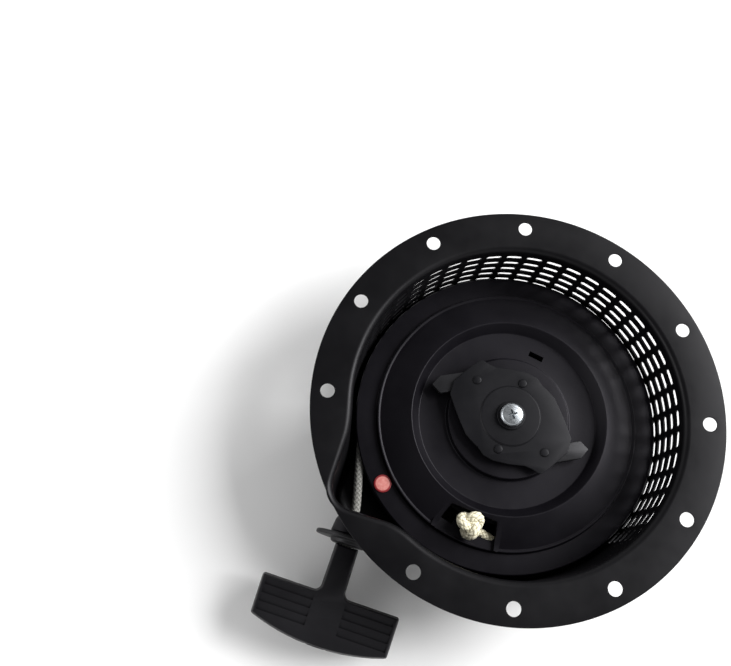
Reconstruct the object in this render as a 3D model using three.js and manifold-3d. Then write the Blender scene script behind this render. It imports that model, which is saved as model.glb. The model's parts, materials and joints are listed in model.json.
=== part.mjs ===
// Recoil starter for a small engine. Millimetres, +Z up, towards the engine.
// The origin is the centre of the drum's closed face, which the part stands on.
import * as THREE from 'three';
import { mergeVertices } from 'three/addons/utils/BufferGeometryUtils.js';
import Module from 'manifold-3d';

const wasm = await Module();
wasm.setup();

const DEG = Math.PI / 180;
const GAP = 0.3;

// Housing: a pressed drum with a bolting flange.
const SHEET = 1;
const FLANGE_FACE_Z = 68;
const FLANGE_R = 125;
const DRUM_R = 100.5;
const DRUM_EDGE_R = 7;
const MOUTH_FILLET_R = 2.5;
const BOLT_CIRCLE_R = 115;
const BOLT_HOLE_R = 4.25;
const BOLT_POSITIONS = 12;
const MISSING_BOLT = 7;

// Vent slots, one column on each flat facet of the drum's wall.
const SLOT_PITCH_DEG = 7.5;
const SLOT_FIRST_DEG = -42.5;
const SLOT_COLUMNS = 30;
const SLOT_ROWS = 5;
const SLOT_LOW_Z = 16.7;
const SLOT_ROW_PITCH = 10;
const SLOT_LENGTH = 9.8;
const SLOT_HEIGHT = 5;

// Outlet bulge: two flat walls, given by the direction they face and their distance from the axis.
const SIDE_WALL_DEG = 166.2;
const SIDE_WALL_AT_FLANGE = 92.5;
const SIDE_WALL_AT_FACE = 89.5;
const OUTLET_WALL_DEG = -101.5;
const OUTLET_WALL_DISTANCE = 86.8;
const BULGE_CORNER_BLEND = 27;
const BULGE_DRUM_BLEND = 5;
const BULGE_FACETS = 24;

// Sloping facet pressed into the closed face, rising towards the bulge's corner.
const FACET_DEG = -144.5;
const FACET_START = 64.9;
const FACET_SLOPE = 0.134;
const FACET_EDGE_BLEND = 3;

// Rope and its outlet.
const ROPE_R = 2.8;
const ROPE_Z = 22;
const ROPE_WIND_R = 91;
const ROPE_LAYER_PITCH = 5.9;
const ROPE_WOUND_DEG = 647;
const ROPE_BORE_R = 3.7;
const OUTLET_X = -91.2;
const OUTLET_Y = (OUTLET_WALL_DISTANCE - OUTLET_X * Math.cos(OUTLET_WALL_DEG * DEG))
  / Math.sin(OUTLET_WALL_DEG * DEG);
const GUIDE_SHANK_R = 9;
const GUIDE_LENGTH = 10.5;
const STOP_DISC_R = 21;
const STOP_START = GUIDE_LENGTH + GAP;
const STOP_END = 16.3;

// Reel.
const REEL_R = 96;
const REEL_TOP_Z = 27;
const REEL_BASE_Z = 16.4;
const REEL_RING_R = 82.3;
const REEL_RING_Z = 29.5;
const RECESS_RIM_R = 61.8;
const RECESS_RIM_Z = 38;
const RECESS_FLOOR_R = 54;
const RECESS_FLOOR_Z = 31;
const BOSS_R = 38.5;
const BOSS_Z = 35;
const HUB_R = 12;
const HUB_BORE_R = 8.3;
const HUB_BASE_Z = 4.5;
const HUB_POCKET_R = 13.5;
const HUB_POCKET_Z = 31.5;
const GROOVE_FLOOR_R = 77;
const GROOVE_HALF_WIDTH = 3.2;
const HUB_PLATE_R = 55.1;
const HUB_PLATE_EDGE_Z = 31.4;
const KNOT_R = 71;
const KNOT_DEG = -107.5;
const KNOT_Z = 34.8;
const DOT_R = 5.5;

// Pawls, plate and centre screw.
const PAWL_PIVOT_R = 31;
const PAWL_PIVOT_DEG = 133;
const PAWL_LENGTH = 29.6;
const PAWL_HALF_WIDTH = 5.5;
const PAWL_LEAN_DEG = 60.9;
const PAWL_BASE_Z = BOSS_Z + GAP;
const PAWL_THICKNESS = 3.9;
const PIN_R = 2;
const PIN_BASE_Z = 31.4;
const PAWL_SPRING_SEAT_R = 4.7;
const PAWL_SPRING_SEAT_Z = 32.6;
const PLATE_Z = 39.6;
const PLATE_THICKNESS = 1.5;
const PLATE_BORE_R = 6.5;
const POST_R = 6;
const POST_TOP_Z = 41.9;
const SCREW_HEAD_R = 7.3;
const SCREW_HEAD_Z = 43.8;
const SCREW_TOP_Z = 48;

// Recoil spring and its cup.
const CUP_R = 45;
const CUP_TOP_Z = 15.6;
const SPRING_INNER_R = 14.5;
const SPRING_OUTER_R = 42.5;
const SPRING_TURNS = 5;
const SPRING_STRIP = 0.8;

// T-handle, in its own frame: +Y along the pull from the top of its neck, X along the bar.
const PULL_DEG = -103.7;
const HANDLE_START = STOP_END + GAP;
const NECK_HALF = 7.75;
const BAR_HALF_LENGTH = 43.5;
const BAR_NEAR_Y = 29.8;
const BAR_END_Y = 54.3;
const BAR_CROWN_Y = 61.6;
const HANDLE_THICKNESS = 17;
const KNOT_POCKET_R = 7;
const KNOT_POCKET_Y = 36;

const paint = { color: 0x141416, roughness: 0.42, metalness: 0.3 };
const plastic = { color: 0x17171a, roughness: 0.55, metalness: 0 };
const handlePlastic = { color: 0x1c1c1f, roughness: 0.6, metalness: 0 };
const zinc = { color: 0xc9ccd0, roughness: 0.28, metalness: 1 };
const steel = { color: 0x8d9096, roughness: 0.35, metalness: 1 };
const springSteel = { color: 0x54565c, roughness: 0.38, metalness: 1 };
const darkSteel = { color: 0x26272a, roughness: 0.45, metalness: 0.8 };
const bronze = { color: 0xa98548, roughness: 0.45, metalness: 1 };
const ropeCream = { color: 0xe6dfcc, roughness: 0.9, metalness: 0 };
const rubber = { color: 0x121212, roughness: 0.75, metalness: 0 };
const red = { color: 0xd8453d, roughness: 0.5, metalness: 0 };

const group = new THREE.Group();

function addMesh(name, geometry, look) {
  const mesh = new THREE.Mesh(geometry, new THREE.MeshStandardMaterial(look));
  mesh.name = name;
  group.add(mesh);
  return mesh;
}

// Closed indexed geometry with shared vertices and without collapsed triangles.
function weld(geometry) {
  const bare = geometry.clone();
  bare.deleteAttribute('normal');
  bare.deleteAttribute('uv');
  const merged = mergeVertices(bare, 1e-4);
  const source = merged.index.array;
  const kept = [];
  for (let i = 0; i < source.length; i += 3) {
    const [a, b, c] = [source[i], source[i + 1], source[i + 2]];
    if (a !== b && b !== c && c !== a) kept.push(a, b, c);
  }
  merged.setIndex(kept);
  return merged;
}

function toSolid(geometry) {
  const welded = weld(geometry);
  const vertProperties = new Float32Array(welded.attributes.position.array);
  const triVerts = new Uint32Array(welded.index.array);
  return new wasm.Manifold(new wasm.Mesh({ numProp: 3, vertProperties, triVerts }));
}

function toGeometry(solid) {
  const mesh = solid.getMesh();
  const geometry = new THREE.BufferGeometry();
  geometry.setAttribute('position', new THREE.BufferAttribute(mesh.vertProperties, 3));
  geometry.setIndex(new THREE.BufferAttribute(mesh.triVerts, 1));
  return geometry;
}

function cut(geometry, cutters) {
  let solid = toSolid(geometry);
  for (const cutter of cutters) solid = solid.subtract(toSolid(cutter));
  return toGeometry(solid);
}

function join(geometries) {
  let solid = toSolid(geometries[0]);
  for (const piece of geometries.slice(1)) solid = solid.add(toSolid(piece));
  return toGeometry(solid);
}

// Solid of revolution about Z from [radius, z] points.
function turned(points, segments) {
  const profile = points.map(([r, z]) => new THREE.Vector2(r, z));
  return new THREE.LatheGeometry(profile, segments).rotateX(Math.PI / 2);
}

// Ring about Z with a rectangular section.
function ring(innerR, outerR, lowZ, highZ, segments) {
  const corners = [[innerR, lowZ], [outerR, lowZ], [outerR, highZ], [innerR, highZ], [innerR, lowZ]];
  return turned(corners, segments);
}

function rod(radius, lowZ, highZ, segments = 16) {
  const height = highZ - lowZ;
  const cylinder = new THREE.CylinderGeometry(radius, radius, height, segments);
  return cylinder.rotateX(Math.PI / 2).translate(0, 0, lowZ + height / 2);
}

function extruded(shape, lowZ, height, options = {}) {
  const settings = { depth: height, bevelEnabled: false, curveSegments: 8, ...options };
  return new THREE.ExtrudeGeometry(shape, settings).translate(0, 0, lowZ);
}

function box(sizeX, sizeY, sizeZ, x, y, z) {
  return new THREE.BoxGeometry(sizeX, sizeY, sizeZ).translate(x, y, z);
}

function polygon(points) {
  return new THREE.Shape(points.map(([x, y]) => new THREE.Vector2(x, y)));
}

function polar(radius, degrees) {
  return [radius * Math.cos(degrees * DEG), radius * Math.sin(degrees * DEG)];
}

// Round bar along a curve.
function tube(points, radius, steps, sides = 8) {
  const section = polygon(Array.from({ length: sides }, (_, i) => polar(radius, (i * 360) / sides)));
  const path = new THREE.CatmullRomCurve3(points.map((p) => new THREE.Vector3(...p)), false, 'centripetal');
  return new THREE.ExtrudeGeometry(section, { steps, extrudePath: path, bevelEnabled: false });
}

function helix(radius, lowZ, highZ, turns, wireR) {
  const count = Math.round(turns * 10);
  const points = [];
  for (let i = 0; i <= count; i += 1) {
    const [x, y] = polar(radius, (360 * turns * i) / count);
    points.push([x, y, lowZ + ((highZ - lowZ) * i) / count]);
  }
  return tube(points, wireR, count, 6);
}

// ---------------------------------------------------------------- housing

function smoothMin(a, b, width) {
  const overlap = Math.max(width - Math.abs(a - b), 0) / width;
  return Math.min(a, b) - (overlap * overlap * width) / 4;
}

function smoothStep(value) {
  const t = Math.min(Math.max(value, 0), 1);
  return t * t * (3 - 2 * t);
}

// How far the bulge pushes the drum's wall outwards at an angle and height.
function bulgeDepth(degrees, z) {
  const toSide = Math.cos((degrees - SIDE_WALL_DEG) * DEG);
  const toOutlet = Math.cos((degrees - OUTLET_WALL_DEG) * DEG);
  if (toSide < 0.2 || toOutlet < 0.2) return 0;
  const draft = Math.min(Math.max(z / FLANGE_FACE_Z, 0), 1);
  const sideDistance = SIDE_WALL_AT_FACE + (SIDE_WALL_AT_FLANGE - SIDE_WALL_AT_FACE) * draft;
  const bulge = smoothMin(sideDistance / toSide, OUTLET_WALL_DISTANCE / toOutlet, BULGE_CORNER_BLEND);
  return -smoothMin(-bulge, -DRUM_R, BULGE_DRUM_BLEND) - DRUM_R;
}

// Height of the sloping facet above the closed face.
function facetHeight(x, y) {
  const along = x * Math.cos(FACET_DEG * DEG) + y * Math.sin(FACET_DEG * DEG) - FACET_START;
  const across = y * Math.cos(FACET_DEG * DEG) - x * Math.sin(FACET_DEG * DEG);
  if (along <= 0) return 0;
  const sideEdge = smoothStep((10.7 + 0.81 * along + across) / FACET_EDGE_BLEND);
  const outletEdge = smoothStep((6.5 + 0.43 * along - across) / FACET_EDGE_BLEND);
  return FACET_SLOPE * along * sideEdge * outletEdge;
}

// Shell section from the centre of the closed face, out over the flange and back along the inside.
function housingProfile() {
  const edgeStart = DRUM_R - DRUM_EDGE_R;
  const innerR = DRUM_R - SHEET;
  const under = FLANGE_FACE_Z - SHEET;
  const points = [[0, 0], [64, 0], [74, 0], [84, 0]];
  for (const step of [0, 45, 90]) {
    const angle = step * DEG;
    points.push([edgeStart + DRUM_EDGE_R * Math.sin(angle), DRUM_EDGE_R * (1 - Math.cos(angle))]);
  }
  points.push([DRUM_R, under - MOUTH_FILLET_R], [DRUM_R + MOUTH_FILLET_R, under]);
  points.push([FLANGE_R, under], [FLANGE_R, FLANGE_FACE_Z]);
  points.push([innerR + 3.5, FLANGE_FACE_Z], [innerR + 1, FLANGE_FACE_Z - 1], [innerR, FLANGE_FACE_Z - 3.5]);
  const innerEdge = DRUM_EDGE_R - SHEET;
  for (const step of [90, 45, 0]) {
    const angle = step * DEG;
    points.push([edgeStart + innerEdge * Math.sin(angle), SHEET + innerEdge * (1 - Math.cos(angle))]);
  }
  points.push([84, SHEET], [74, SHEET], [64, SHEET], [0, SHEET]);
  return points;
}

// Even facets under the vent slots, finer facets round the bulge.
function housingAngle(turn) {
  const ventFacets = SLOT_COLUMNS;
  const facet = turn * (ventFacets + BULGE_FACETS);
  const start = SLOT_FIRST_DEG - SLOT_PITCH_DEG / 2;
  if (facet <= ventFacets) return start + facet * SLOT_PITCH_DEG;
  const rest = 360 - ventFacets * SLOT_PITCH_DEG;
  return start + ventFacets * SLOT_PITCH_DEG + ((facet - ventFacets) * rest) / BULGE_FACETS;
}

function pressBulge(geometry) {
  const position = geometry.attributes.position;
  for (let i = 0; i < position.count; i += 1) {
    const x = position.getX(i);
    const y = position.getY(i);
    const z = position.getZ(i);
    const baseR = Math.hypot(x, y);
    const turn = (Math.atan2(y, x) / (2 * Math.PI) + 1) % 1;
    const degrees = housingAngle(Math.round(turn * (SLOT_COLUMNS + BULGE_FACETS)) / (SLOT_COLUMNS + BULGE_FACETS));
    const reach = smoothStep((baseR - 60) / 30) * (baseR < FLANGE_R - 1 ? 1 : 0);
    const radius = baseR + bulgeDepth(degrees, z) * reach;
    const [newX, newY] = polar(radius, degrees);
    const onFace = 1 - Math.min(z / (FLANGE_FACE_Z - SHEET), 1);
    position.setXYZ(i, newX, newY, z + facetHeight(newX, newY) * onFace);
  }
  return geometry;
}

function slotCutters() {
  const half = SLOT_LENGTH / 2;
  const side = SLOT_HEIGHT / 2;
  const flat = half - 1.2;
  const outline = polygon([[-half, 0], [-flat, -side], [flat, -side], [half, 0], [flat, side], [-flat, side]]);
  const cutters = [];
  for (let column = 0; column < SLOT_COLUMNS; column += 1) {
    for (let row = 0; row < SLOT_ROWS; row += 1) {
      const slot = new THREE.ExtrudeGeometry(outline, { depth: 8, bevelEnabled: false });
      slot.translate(0, 0, DRUM_R - 5).rotateX(Math.PI / 2).rotateZ(Math.PI / 2);
      slot.rotateZ((SLOT_FIRST_DEG + column * SLOT_PITCH_DEG) * DEG);
      cutters.push(slot.translate(0, 0, SLOT_LOW_Z + row * SLOT_ROW_PITCH));
    }
  }
  return cutters;
}

function boltHoleCutters() {
  const cutters = [];
  for (let i = 0; i < BOLT_POSITIONS; i += 1) {
    if (i === MISSING_BOLT) continue;
    const [x, y] = polar(BOLT_CIRCLE_R, i * 30);
    cutters.push(rod(BOLT_HOLE_R, FLANGE_FACE_Z - 5, FLANGE_FACE_Z + 5, 12).translate(x, y, 0));
  }
  return cutters;
}

// Puts a piece turned about Z onto the rope outlet's axis, pointing out of the housing.
function ontoOutlet(geometry) {
  return geometry.rotateY(Math.PI / 2).rotateZ(OUTLET_WALL_DEG * DEG).translate(OUTLET_X, OUTLET_Y, ROPE_Z);
}

function makeHousing() {
  const shell = pressBulge(turned(housingProfile(), SLOT_COLUMNS + BULGE_FACETS));
  const outletHole = ontoOutlet(rod(GUIDE_SHANK_R + GAP, -9, 9, 20));
  const geometry = cut(shell, [...slotCutters(), ...boltHoleCutters(), outletHole]);
  addMesh('housing', geometry, paint);
}

// ---------------------------------------------------------------- spring, cup and post

function makeSpringCup() {
  const floor = SHEET + GAP;
  const section = [
    [9.3, floor], [CUP_R, floor], [CUP_R, CUP_TOP_Z], [CUP_R - 1, CUP_TOP_Z], [CUP_R - 1, floor + 1],
    [9.3, floor + 1], [9.3, floor],
  ];
  addMesh('spring_cup', turned(section, 28), steel);
}

function makeRecoilSpring() {
  const count = SPRING_TURNS * 12;
  const outer = [];
  const inner = [];
  for (let i = 0; i <= count; i += 1) {
    const angle = (i * 360 * SPRING_TURNS) / count;
    const radius = SPRING_INNER_R + ((SPRING_OUTER_R - SPRING_INNER_R) * i) / count;
    outer.push(polar(radius + SPRING_STRIP / 2, angle));
    inner.push(polar(radius - SPRING_STRIP / 2, angle));
  }
  const outline = polygon([...outer, ...inner.reverse()]);
  addMesh('recoil_spring', extruded(outline, 3.4, 11.2), springSteel);
}

function makeCentrePost() {
  const base = SHEET + GAP;
  const section = [
    [0, base], [9, base], [9, 3], [POST_R, 3], [POST_R, POST_TOP_Z], [2.7, POST_TOP_Z], [2.7, 28], [0, 28],
  ];
  addMesh('centre_post', turned(section, 24), zinc);
}

// ---------------------------------------------------------------- reel

// The rope drum, from the edge of the hub plate out to the rims of the groove.
function reelProfile() {
  const grooveTop = ROPE_Z + GROOVE_HALF_WIDTH;
  const grooveLow = ROPE_Z - GROOVE_HALF_WIDTH;
  const boreR = HUB_PLATE_R + GAP;
  return [
    [boreR, 28.2], [57.5, 29],
    [61.4, 34.2], [63, 34.4], [74, 29.6], [74, 17.8], [75.5, REEL_BASE_Z], [REEL_R - 0.5, REEL_BASE_Z],
    [REEL_R, REEL_BASE_Z + 0.5], [REEL_R, grooveLow - 0.5], [REEL_R - 1, grooveLow], [GROOVE_FLOOR_R, grooveLow],
    [GROOVE_FLOOR_R, grooveTop], [REEL_R - 1, grooveTop], [REEL_R, grooveTop + 0.5], [REEL_R, REEL_TOP_Z - 0.5],
    [REEL_R - 0.5, REEL_TOP_Z], [REEL_RING_R + 0.9, REEL_TOP_Z], [REEL_RING_R + 0.3, REEL_RING_Z - 0.4],
    [REEL_RING_R - 0.5, REEL_RING_Z], [RECESS_RIM_R + 1.6, RECESS_RIM_Z - 0.5], [RECESS_RIM_R, RECESS_RIM_Z],
    [RECESS_RIM_R - 1.4, RECESS_RIM_Z - 0.7], [RECESS_FLOOR_R + 2, RECESS_FLOOR_Z + 0.8],
    [boreR, HUB_PLATE_EDGE_Z], [boreR, 28.2],
  ];
}

// The hub that turns on the post, its plate under the recess, and the boss that carries the pawls.
function reelHubProfile() {
  return [
    [HUB_BORE_R, HUB_BASE_Z], [HUB_R, HUB_BASE_Z], [HUB_R, 28.2], [38, 28.2], [HUB_PLATE_R, 28.2],
    [HUB_PLATE_R, HUB_PLATE_EDGE_Z], [RECESS_FLOOR_R, RECESS_FLOOR_Z], [BOSS_R + 1.2, RECESS_FLOOR_Z],
    [BOSS_R + 0.2, BOSS_Z - 1], [BOSS_R - 1, BOSS_Z], [HUB_POCKET_R, BOSS_Z], [HUB_POCKET_R, HUB_POCKET_Z],
    [HUB_BORE_R, HUB_POCKET_Z], [HUB_BORE_R, HUB_BASE_Z],
  ];
}

// Centre line of the wound rope: from the knot, through the groove's floor, then two spiral layers.
function woundRopePoints(degreesShown) {
  const points = [];
  const firstDeg = 180 - ROPE_WOUND_DEG;
  const count = Math.ceil(degreesShown / 13);
  for (let i = 0; i <= count; i += 1) {
    const travelled = (degreesShown * i) / count;
    const spiralR = ROPE_WIND_R - (ROPE_LAYER_PITCH * (ROPE_WOUND_DEG - travelled)) / 360;
    const entry = 1 - smoothStep(travelled / 26);
    const [x, y] = polar(spiralR - 8.6 * entry, firstDeg + travelled);
    points.push([x, y, ROPE_Z + 5.2 * entry]);
  }
  return points;
}

function alongRadius(geometry, radius, degrees) {
  return geometry.translate(radius, 0, 0).rotateZ(degrees * DEG);
}

// Trapezoid standing on the reel's cone between its two rings.
function knotPocketSolid(innerR, outerR, halfInner, halfOuter, lowZ, highZ) {
  const outline = polygon([[innerR, -halfInner], [outerR, -halfOuter], [outerR, halfOuter], [innerR, halfInner]]);
  return extruded(outline, lowZ, highZ - lowZ).rotateZ(KNOT_DEG * DEG);
}

// The knot's pocket, its two windows and the rope's way in.
function reelCutters() {
  const cutters = [knotPocketSolid(63.5, 80.6, 15, 19.5, 28.8, 45), tube(woundRopePoints(52), ROPE_R + 0.9, 16, 8)];
  for (const side of [-1, 1]) {
    cutters.push(alongRadius(box(9, 8, 12, 0, 0, KNOT_Z - 7), 70.5, KNOT_DEG + side * 10.5));
  }
  return cutters;
}

// The slot for the recoil spring's end and the pawls' seats.
function reelHubCutters() {
  const cutters = [alongRadius(box(3.4, 9.5, 12, 0, 0, RECESS_FLOOR_Z), 46, 68)];
  for (const side of [0, 180]) {
    const [x, y] = polar(PAWL_PIVOT_R, PAWL_PIVOT_DEG + side);
    cutters.push(rod(PIN_R + GAP, PIN_BASE_Z - GAP, 40, 12).translate(x, y, 0));
    cutters.push(rod(PAWL_SPRING_SEAT_R, PAWL_SPRING_SEAT_Z, 40, 16).translate(x, y, 0));
  }
  return cutters;
}

function makeReel() {
  const body = join([turned(reelProfile(), 40), knotPocketSolid(62.5, 80, 20, 22, 25.8, 31)]);
  addMesh('reel', cut(body, reelCutters()), plastic);
  addMesh('reel_hub', cut(turned(reelHubProfile(), 40), reelHubCutters()), plastic);
}

function makeReelBearings() {
  addMesh('reel_bushing', ring(POST_R + GAP, HUB_BORE_R - GAP, 4.8, HUB_POCKET_Z - GAP, 24), bronze);
  addMesh('thrust_washer', ring(POST_R + 0.4, 11.5, 3 + GAP, HUB_BASE_Z - GAP, 24), steel);
}

function makeDotLabel() {
  const dot = rod(DOT_R, REEL_TOP_Z + GAP, REEL_TOP_Z + 0.8, 20);
  addMesh('dot_label', alongRadius(dot, 89.2, -148.3), red);
}

// ---------------------------------------------------------------- rope

function makeRopeCoil() {
  addMesh('rope_coil', tube(woundRopePoints(ROPE_WOUND_DEG - 0.5), ROPE_R, 60), ropeCream);
}

function knotSolid(sizeX, sizeY, sizeZ) {
  return new THREE.SphereGeometry(1, 14, 10).scale(sizeX / 2, sizeY / 2, sizeZ / 2);
}

function makeReelKnot() {
  const [x, y] = polar(KNOT_R, KNOT_DEG);
  const knot = knotSolid(17.5, 11, 8.4).rotateZ(-62 * DEG).translate(x, y, KNOT_Z);
  addMesh('reel_knot', knot, ropeCream);
}

// A point on the handle's centre line, a distance from the top of its neck.
function handlePoint(distance) {
  const [outX, outY] = polar(HANDLE_START, OUTLET_WALL_DEG);
  const [x, y] = polar(distance, PULL_DEG);
  return [OUTLET_X + outX + x, OUTLET_Y + outY + y, ROPE_Z];
}

function makeRopeRun() {
  const [guideX, guideY] = polar(8, OUTLET_WALL_DEG);
  const points = [
    [-ROPE_WIND_R, -1, ROPE_Z], [-ROPE_WIND_R, -22, ROPE_Z], [-ROPE_WIND_R, -44, ROPE_Z],
    [-ROPE_WIND_R, -62, ROPE_Z], [OUTLET_X + guideX, OUTLET_Y + guideY, ROPE_Z],
    handlePoint(0), handlePoint(18), handlePoint(KNOT_POCKET_Y + 3.2),
  ];
  addMesh('rope_run', tube(points, ROPE_R, 20), ropeCream);
}

function makeRopeGuide() {
  const section = [
    [ROPE_BORE_R, -2], [5.6, -4.5], [GUIDE_SHANK_R - 0.6, -4.5], [GUIDE_SHANK_R, -4], [GUIDE_SHANK_R, 0.5],
    [10.3, 0.5], [11.2, 1.6], [12.5, GUIDE_LENGTH - 1], [11.8, GUIDE_LENGTH], [4.6, GUIDE_LENGTH],
    [ROPE_BORE_R, GUIDE_LENGTH - 1.5], [ROPE_BORE_R, -2],
  ];
  addMesh('rope_guide', ontoOutlet(turned(section, 18)), plastic);
}

function makeStopWasher() {
  const disc = STOP_START + 2.6;
  const section = [
    [ROPE_BORE_R + 0.4, STOP_START], [STOP_DISC_R - 0.5, STOP_START], [STOP_DISC_R, STOP_START + 0.6],
    [STOP_DISC_R, disc - 0.6], [STOP_DISC_R - 0.5, disc], [11.4, disc], [11, STOP_END - 0.8],
    [9.6, STOP_END], [ROPE_BORE_R + 0.8, STOP_END], [ROPE_BORE_R + 0.4, STOP_START],
  ];
  addMesh('stop_washer', ontoOutlet(turned(section, 24)), rubber);
}

// ---------------------------------------------------------------- pawls, plate and screw

function pawlShape() {
  const w = PAWL_HALF_WIDTH;
  const shape = new THREE.Shape();
  shape.moveTo(0, -w);
  shape.lineTo(PAWL_LENGTH - 6, -w);
  shape.lineTo(PAWL_LENGTH, -0.8);
  shape.lineTo(PAWL_LENGTH - 4.2, w);
  shape.lineTo(0, w);
  shape.absarc(0, 0, w, Math.PI / 2, Math.PI * 1.5, false);
  const hole = new THREE.Path();
  hole.absarc(0, 0, PIN_R + GAP, 0, Math.PI * 2, true);
  shape.holes.push(hole);
  return shape;
}

function makePawlSet(letter, turnDeg) {
  const place = (geometry) => alongRadius(geometry, PAWL_PIVOT_R, PAWL_PIVOT_DEG + turnDeg);
  const pawl = extruded(pawlShape(), PAWL_BASE_Z, PAWL_THICKNESS, { curveSegments: 6 });
  addMesh(`pawl_${letter}`, place(pawl.rotateZ(PAWL_LEAN_DEG * DEG)), darkSteel);
  addMesh(`pawl_pin_${letter}`, place(rod(PIN_R, PIN_BASE_Z, PLATE_Z - GAP, 12)), steel);
  const spring = helix(3.5, PAWL_SPRING_SEAT_Z + 0.7, PAWL_BASE_Z - 0.7, 1.5, 0.4);
  addMesh(`pawl_spring_${letter}`, place(spring), springSteel);
}

// Half of the plate's outline, anticlockwise; the other half is the same turned by 180 degrees.
const PLATE_HALF = [
  [-19.5, -21.5], [-16, -26], [-9.7, -28.8], [0, -30.2], [9.7, -30.4], [14.5, -32], [19.8, -35],
  [24.5, -31], [30, -26], [36.5, -19.5], [38.6, -11], [35.5, -3], [31.5, 6], [27.5, 14], [23, 18.5],
];

const PLATE_BUMPS = [[30.4, 136], [22.5, 72]];

function makeFrictionPlate() {
  const turnedHalf = PLATE_HALF.map(([x, y]) => [-x, -y]);
  const pieces = [
    extruded(polygon([...PLATE_HALF, ...turnedHalf]), PLATE_Z, PLATE_THICKNESS),
    turned([[0, PLATE_Z + 0.5], [19.5, PLATE_Z + 0.5], [18.6, PLATE_Z + 2.3], [0, PLATE_Z + 2.3]], 24),
  ];
  for (const [radius, degrees] of PLATE_BUMPS) {
    for (const side of [0, 180]) {
      const dome = turned([[0, PLATE_Z + 1], [2.7, PLATE_Z + 1], [0, PLATE_Z + 2.6]], 10);
      pieces.push(alongRadius(dome, radius, degrees + side));
    }
  }
  const bore = rod(PLATE_BORE_R, PLATE_Z - 2, PLATE_Z + 5, 20);
  addMesh('friction_plate', cut(join(pieces), [bore]), darkSteel);
}

function makeFrictionSpring() {
  addMesh('friction_spring', helix(10.4, HUB_POCKET_Z + 1.2, PLATE_Z - 1.2, 2.5, 0.8), springSteel);
}

function makeCentreScrew() {
  const washerLow = POST_TOP_Z + GAP;
  addMesh('screw_washer', ring(2.9, 9, washerLow, SCREW_HEAD_Z - GAP, 24), darkSteel);
  const section = [
    [0, 30], [2.3, 30], [2.3, SCREW_HEAD_Z], [SCREW_HEAD_R, SCREW_HEAD_Z], [SCREW_HEAD_R, SCREW_HEAD_Z + 2],
    [6.6, SCREW_TOP_Z - 1], [5, SCREW_TOP_Z - 0.3], [0, SCREW_TOP_Z],
  ];
  const recess = [box(6.4, 1.5, 4, 0, 0, SCREW_TOP_Z + 0.2), box(1.5, 6.4, 4, 0, 0, SCREW_TOP_Z + 0.2)];
  addMesh('centre_screw', cut(turned(section, 24), recess), zinc);
}

// ---------------------------------------------------------------- handle

function handleShape() {
  const shape = new THREE.Shape();
  const fillet = 4;
  const corner = 1.5;
  shape.moveTo(-NECK_HALF, 0);
  shape.lineTo(NECK_HALF, 0);
  shape.lineTo(NECK_HALF, BAR_NEAR_Y - fillet);
  shape.quadraticCurveTo(NECK_HALF, BAR_NEAR_Y, NECK_HALF + fillet, BAR_NEAR_Y);
  shape.lineTo(BAR_HALF_LENGTH - corner, BAR_NEAR_Y);
  shape.lineTo(BAR_HALF_LENGTH, BAR_NEAR_Y + corner);
  shape.lineTo(BAR_HALF_LENGTH, BAR_END_Y - corner);
  const rise = BAR_CROWN_Y - BAR_END_Y;
  const arcR = (BAR_HALF_LENGTH ** 2 + rise ** 2) / (2 * rise);
  const halfAngle = Math.asin((BAR_HALF_LENGTH - corner) / arcR);
  shape.absarc(0, BAR_CROWN_Y - arcR, arcR, Math.PI / 2 - halfAngle, Math.PI / 2 + halfAngle, false);
  shape.lineTo(-BAR_HALF_LENGTH, BAR_END_Y - corner);
  shape.lineTo(-BAR_HALF_LENGTH, BAR_NEAR_Y + corner);
  shape.lineTo(-BAR_HALF_LENGTH + corner, BAR_NEAR_Y);
  shape.lineTo(-NECK_HALF - fillet, BAR_NEAR_Y);
  shape.quadraticCurveTo(-NECK_HALF, BAR_NEAR_Y, -NECK_HALF, BAR_NEAR_Y - fillet);
  return shape;
}

// Puts a piece drawn along +Y from the top of the neck into place.
function ontoHandle(geometry) {
  return geometry.rotateZ((PULL_DEG - 90) * DEG).translate(...handlePoint(0));
}

function alongHandle(points, segments) {
  return ontoHandle(turned(points, segments).rotateX(-Math.PI / 2));
}

// Four grip grooves on each half of both flat faces.
function gripGrooves() {
  const grooves = [];
  for (const face of [-1, 1]) {
    for (const half of [-1, 1]) {
      for (let i = 0; i < 4; i += 1) {
        const x = half * (BAR_HALF_LENGTH / 2 + 2.5);
        const y = BAR_NEAR_Y + 4.2 + i * 5.6;
        grooves.push(box(30, 1.3, 1.8, x, y, (face * HANDLE_THICKNESS) / 2));
      }
    }
  }
  return grooves;
}

function makeHandle() {
  const bevel = 1.2;
  const body = new THREE.ExtrudeGeometry(handleShape(), {
    depth: HANDLE_THICKNESS - 2 * bevel, bevelEnabled: true, bevelThickness: bevel, bevelSize: bevel,
    bevelOffset: -bevel, bevelSegments: 1, curveSegments: 10,
  }).translate(0, 0, bevel - HANDLE_THICKNESS / 2);
  const bore = rod(ROPE_BORE_R, -2, KNOT_POCKET_Y + 2, 16).rotateX(-Math.PI / 2);
  const pocket = rod(KNOT_POCKET_R, KNOT_POCKET_Y, BAR_CROWN_Y + 2, 20).rotateX(-Math.PI / 2);
  addMesh('handle', ontoHandle(cut(body, [bore, pocket, ...gripGrooves()])), handlePlastic);
}

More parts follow.
